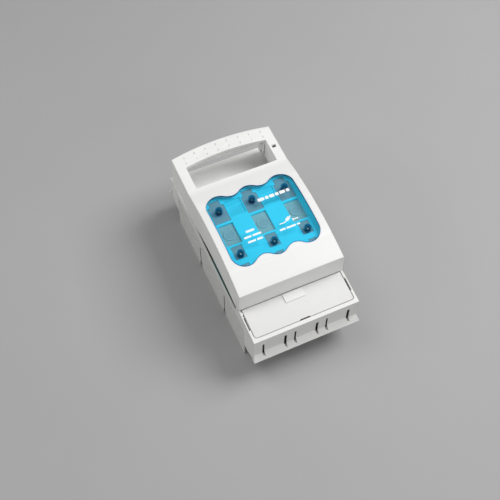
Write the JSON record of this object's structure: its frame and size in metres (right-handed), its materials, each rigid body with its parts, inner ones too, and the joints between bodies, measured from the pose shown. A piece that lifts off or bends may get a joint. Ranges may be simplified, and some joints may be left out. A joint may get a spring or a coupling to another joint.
{
  "type": "fuse switch disconnector",
  "caption": "Busbar-mounted fuse switch disconnector: a hinged handle lid with a wavy transparent window carries blade-type cartridge fuse-links in a light grey housing with ribbed side skirts.",
  "frame": {"origin": "centre of the whole device's plan, in the plane the side skirts stand on", "axes": "+X across the poles to the right, +Y towards the handle, +Z out of the panel, away from the busbars"},
  "size_m": [0.1094, 0.216, 0.1018],
  "materials": {
    "housing_grey": "fine satin, light grey",
    "skirt_grey": "fine satin, light grey, ribbed",
    "inner_grey": "satin, light grey",
    "carrier_cyan": "satin, bright cyan",
    "guard_teal": "satin, deep teal",
    "window_blue": "polished, tinted clear plastic",
    "zinc_steel": "zinc plated",
    "spring_steel": "plain spring steel",
    "silvered_copper": "silver plated",
    "ceramic_white": "semi-gloss ceramic",
    "cap_steel": "nickel plated",
    "indicator_grey": "satin",
    "shield_grey": "satin, mid grey"
  },
  "bodies": {
    "base": {"base_housing": "housing_grey", "upper_terminal_cover": "housing_grey", "side_skirt_left": "skirt_grey", "side_skirt_right": "skirt_grey", "phase_barrier_left": "inner_grey", "phase_barrier_right": "inner_grey", "hinge_bracket_left": "inner_grey", "hinge_bracket_right": "inner_grey", "sealing_lug": "inner_grey", "touch_guard_left": "guard_teal", "touch_guard_right": "guard_teal", "housing_screws": "zinc_steel", "load_contact_1": "silvered_copper", "line_contact_1": "silvered_copper", "upper_jaw_spring_1": "spring_steel", "lower_jaw_spring_1": "spring_steel", "arc_splitter_1": "spring_steel", "busbar_hook_1": "spring_steel", "terminal_clamp_1": "zinc_steel", "terminal_screw_1": "zinc_steel", "load_contact_2": "silvered_copper", "line_contact_2": "silvered_copper", "upper_jaw_spring_2": "spring_steel", "lower_jaw_spring_2": "spring_steel", "arc_splitter_2": "spring_steel", "busbar_hook_2": "spring_steel", "terminal_clamp_2": "zinc_steel", "terminal_screw_2": "zinc_steel", "load_contact_3": "silvered_copper", "line_contact_3": "silvered_copper", "upper_jaw_spring_3": "spring_steel", "lower_jaw_spring_3": "spring_steel", "arc_splitter_3": "spring_steel", "busbar_hook_3": "spring_steel", "terminal_clamp_3": "zinc_steel", "terminal_screw_3": "zinc_steel"},
    "lid": {"lid_shell": "housing_grey", "window": "window_blue", "fuse_carrier": "carrier_cyan", "contact_shields_upper": "shield_grey", "contact_shields_lower": "shield_grey", "hinge_pin_left": "zinc_steel", "hinge_pin_right": "zinc_steel", "fuse_body_1": "ceramic_white", "fuse_caps_1": "cap_steel", "fuse_blades_1": "silvered_copper", "fuse_indicator_1": "indicator_grey", "fuse_body_2": "ceramic_white", "fuse_caps_2": "cap_steel", "fuse_blades_2": "silvered_copper", "fuse_indicator_2": "indicator_grey", "fuse_body_3": "ceramic_white", "fuse_caps_3": "cap_steel", "fuse_blades_3": "silvered_copper", "fuse_indicator_3": "indicator_grey"},
    "terminal_cover": {"lower_terminal_cover": "housing_grey", "cover_grip_pad": "housing_grey"},
    "busbar_lock_slider": {"busbar_lock": "zinc_steel"}
  },
  "joints": [
    {"name": "lid_hinge", "type": "hinge", "parent": "base", "child": "lid", "pos_m": [0, -0.062, 0.079], "axis": [1, 0, 0], "range_deg": [0, 85]},
    {"name": "cover_lift", "type": "slide", "parent": "base", "child": "terminal_cover", "axis": [0, 0, 1], "range_m": [0, 0.004]},
    {"name": "lock_slide", "type": "slide", "parent": "base", "child": "busbar_lock_slider", "axis": [0, 1, 0], "range_m": [0, 0.005]}
  ]
}
